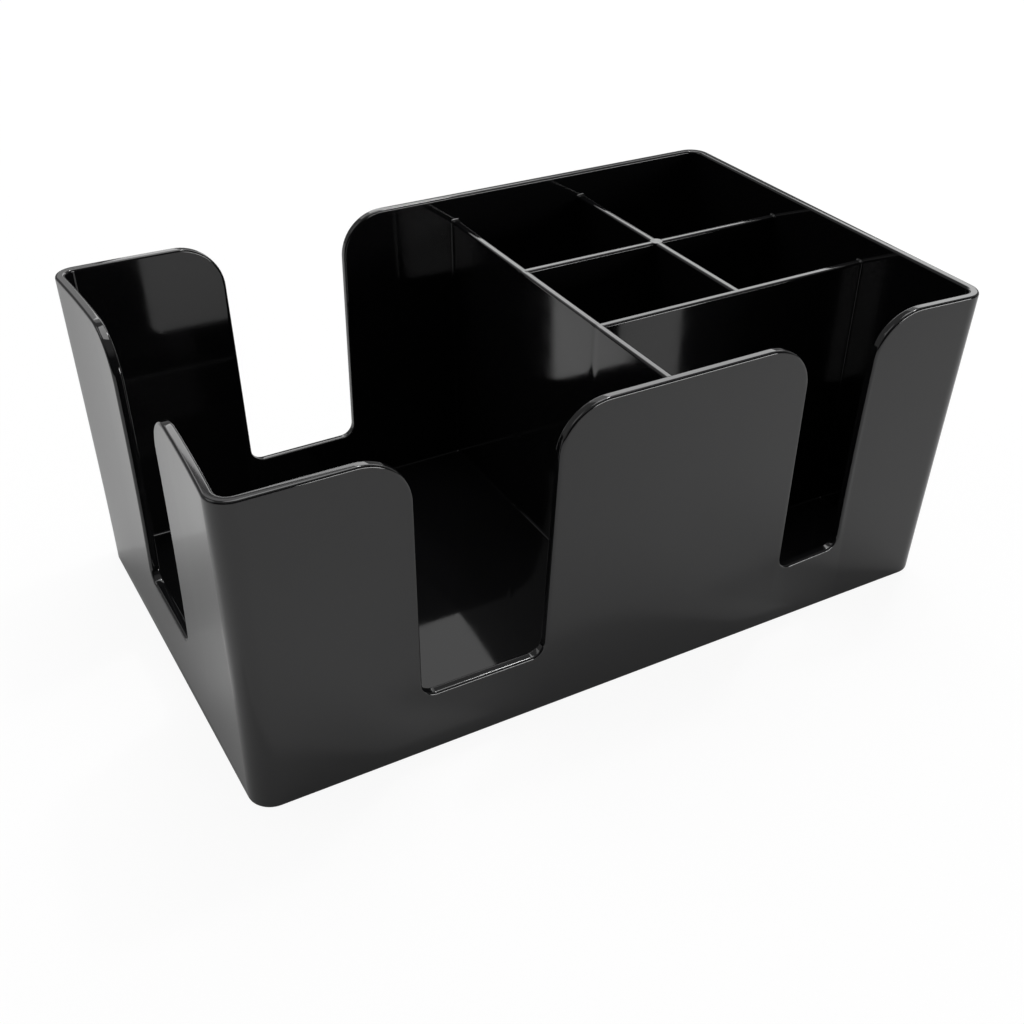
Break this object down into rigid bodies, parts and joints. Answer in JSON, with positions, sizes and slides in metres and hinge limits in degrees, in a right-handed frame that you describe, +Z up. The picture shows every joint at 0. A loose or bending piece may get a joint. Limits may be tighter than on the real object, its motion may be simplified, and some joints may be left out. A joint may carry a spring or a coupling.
{
  "type": "condiment caddy",
  "caption": "Open-topped moulded countertop caddy with a deep napkin bay, a long straw bay, small square cells behind it, and hand slots cut down from the rim.",
  "frame": {"origin": "middle of the standing face, under the base", "axes": "+X to the right along the front wall, +Y to the back, +Z up; the napkin bay is at the -X end"},
  "size_m": [0.241, 0.1484, 0.1025],
  "materials": {
    "moulded_black_abs": "high gloss, polished-tool ABS, self-coloured black"
  },
  "bodies": {
    "root": {"tub": "moulded_black_abs", "main_partition": "moulded_black_abs", "front_cross_partition": "moulded_black_abs", "rear_cross_partition": "moulded_black_abs", "front_cell_partition": "moulded_black_abs", "rear_cell_partition": "moulded_black_abs"}
  },
  "joints": []
}
